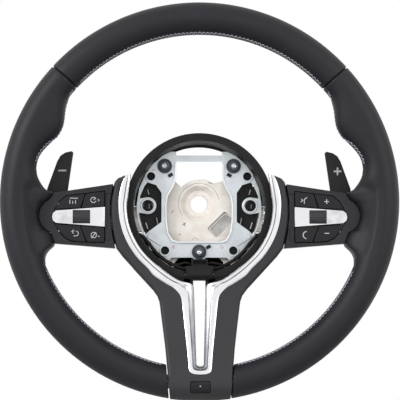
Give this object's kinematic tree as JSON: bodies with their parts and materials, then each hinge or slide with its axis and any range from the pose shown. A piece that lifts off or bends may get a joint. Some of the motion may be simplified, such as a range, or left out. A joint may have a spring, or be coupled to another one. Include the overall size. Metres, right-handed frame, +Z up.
{
  "type": "car steering wheel",
  "caption": "Leather-rimmed sports steering wheel, airbag out: cast hub and spokes, carrier plate on horn springs, key pods, shift paddles and split lower spoke.",
  "frame": {"origin": "centre of the splined hub bore at the hub's rear seating face", "axes": "+X to the driver's right, +Y away from the driver along the column, +Z up"},
  "size_m": [0.37, 0.0785, 0.37],
  "materials": {
    "cast": "raw light-metal casting, matt",
    "steel": "bright drawn steel",
    "foam": "moulded rim foam",
    "leather": "smooth black leather, satin",
    "cover_black": "black moulded plastic",
    "soft_black": "soft-touch black",
    "silver": "satin silver plating",
    "zinc_plate": "zinc-plated pressed sheet",
    "bush_grey": "grey moulded bush",
    "bright_steel": "bright screw steel",
    "key_black": "fine-grained black keys",
    "paddle_black": "satin black",
    "board": "green circuit board",
    "wire_black": "black sleeving"
  },
  "bodies": {
    "wheel": {"armature": "cast", "rim_ring": "cast", "hub_insert": "steel", "rim_foam": "foam", "leather_top": "leather", "leather_left": "leather", "leather_right": "leather", "rear_cover": "cover_black", "left_arm_back": "cover_black", "right_arm_back": "cover_black", "lower_spoke_back": "cover_black", "lower_cover": "soft_black", "silver_trim": "silver", "insulating_frame": "cover_black", "guide_bolts": "bright_steel", "horn_spring_left": "steel", "horn_spring_right": "steel", "horn_spring_lower": "steel", "paddle_pins": "steel", "paddle_switches": "cover_black", "foot_switch": "board", "control_module": "cover_black", "harness_plug": "cover_black", "pod_screws": "bright_steel", "cover_screws": "bright_steel", "left_bezel": "soft_black", "left_pod_back": "cover_black", "left_bar": "silver", "left_board": "board", "left_yoke": "cover_black", "left_paddle_carrier": "cover_black", "left_wire": "wire_black", "right_bezel": "soft_black", "right_pod_back": "cover_black", "right_bar": "silver", "right_board": "board", "right_paddle_carrier": "cover_black", "right_wire": "wire_black"},
    "horn_carrier": {"airbag_carrier": "zinc_plate", "horn_bushes": "bush_grey", "retaining_clips": "cover_black"},
    "left_key_top_outer": {"left_key_top_outer": "key_black"},
    "left_key_top_inner": {"left_key_top_inner": "key_black"},
    "left_key_low_outer": {"left_key_low_outer": "key_black"},
    "left_key_low_inner": {"left_key_low_inner": "key_black"},
    "right_key_top_outer": {"right_key_top_outer": "key_black"},
    "right_key_top_inner": {"right_key_top_inner": "key_black"},
    "right_key_low_outer": {"right_key_low_outer": "key_black"},
    "right_key_low_inner": {"right_key_low_inner": "key_black"},
    "left_roller": {"left_roller": "key_black"},
    "right_yoke": {"right_yoke": "cover_black"},
    "right_roller": {"right_roller": "key_black"},
    "left_paddle": {"left_paddle": "paddle_black"},
    "right_paddle": {"right_paddle": "paddle_black"},
    "foot_button": {"foot_button": "key_black"}
  },
  "joints": [
    {"name": "horn_push", "type": "slide", "parent": "wheel", "child": "horn_carrier", "axis": [0, 1, 0], "range_m": [0, 0.0015], "stiffness_N_per_m": 4000, "springref_m": -0.004, "deforming": ["horn_spring_left", "horn_spring_right", "horn_spring_lower"]},
    {"name": "left_key_top_outer_press", "type": "slide", "parent": "wheel", "child": "left_key_top_outer", "axis": [0, 1, 0], "range_m": [0, 0.0008], "stiffness_N_per_m": 800, "springref_m": -0.001},
    {"name": "left_key_top_inner_press", "type": "slide", "parent": "wheel", "child": "left_key_top_inner", "axis": [0, 1, 0], "range_m": [0, 0.0008], "stiffness_N_per_m": 800, "springref_m": -0.001},
    {"name": "left_key_low_outer_press", "type": "slide", "parent": "wheel", "child": "left_key_low_outer", "axis": [0, 1, 0], "range_m": [0, 0.0008], "stiffness_N_per_m": 800, "springref_m": -0.001},
    {"name": "left_key_low_inner_press", "type": "slide", "parent": "wheel", "child": "left_key_low_inner", "axis": [0, 1, 0], "range_m": [0, 0.0008], "stiffness_N_per_m": 800, "springref_m": -0.001},
    {"name": "right_key_top_outer_press", "type": "slide", "parent": "wheel", "child": "right_key_top_outer", "axis": [0, 1, 0], "range_m": [0, 0.0008], "stiffness_N_per_m": 800, "springref_m": -0.001},
    {"name": "right_key_top_inner_press", "type": "slide", "parent": "wheel", "child": "right_key_top_inner", "axis": [0, 1, 0], "range_m": [0, 0.0008], "stiffness_N_per_m": 800, "springref_m": -0.001},
    {"name": "right_key_low_outer_press", "type": "slide", "parent": "wheel", "child": "right_key_low_outer", "axis": [0, 1, 0], "range_m": [0, 0.0008], "stiffness_N_per_m": 800, "springref_m": -0.001},
    {"name": "right_key_low_inner_press", "type": "slide", "parent": "wheel", "child": "right_key_low_inner", "axis": [0, 1, 0], "range_m": [0, 0.0008], "stiffness_N_per_m": 800, "springref_m": -0.001},
    {"name": "left_roller_rock", "type": "hinge", "parent": "wheel", "child": "left_roller", "pos_m": [-0.1098, -0.0552, -0.0154], "axis": [1, 0, 0], "range_deg": [-8, 8], "stiffness_Nm_per_rad": 0.02},
    {"name": "right_yoke_press", "type": "slide", "parent": "wheel", "child": "right_yoke", "axis": [0, 1, 0], "range_m": [0, 0.0005], "stiffness_N_per_m": 1000, "springref_m": -0.001},
    {"name": "right_roller_spin", "type": "hinge", "parent": "right_yoke", "child": "right_roller", "pos_m": [0.1098, -0.0552, -0.0154], "axis": [1, 0, 0], "continuous": true},
    {"name": "left_paddle_pull", "type": "hinge", "parent": "wheel", "child": "left_paddle", "pos_m": [-0.092, -0.02625, 0.0028], "axis": [0, 0, 1], "range_deg": [0, 4], "stiffness_Nm_per_rad": 1.2, "springref_deg": -5.16},
    {"name": "right_paddle_pull", "type": "hinge", "parent": "wheel", "child": "right_paddle", "pos_m": [0.092, -0.02625, 0.0028], "axis": [0, 0, -1], "range_deg": [0, 4], "stiffness_Nm_per_rad": 1.2, "springref_deg": -5.16},
    {"name": "foot_button_press", "type": "slide", "parent": "wheel", "child": "foot_button", "axis": [0, 1, 0], "range_m": [0, 0.0008], "stiffness_N_per_m": 800, "springref_m": -0.001}
  ]
}
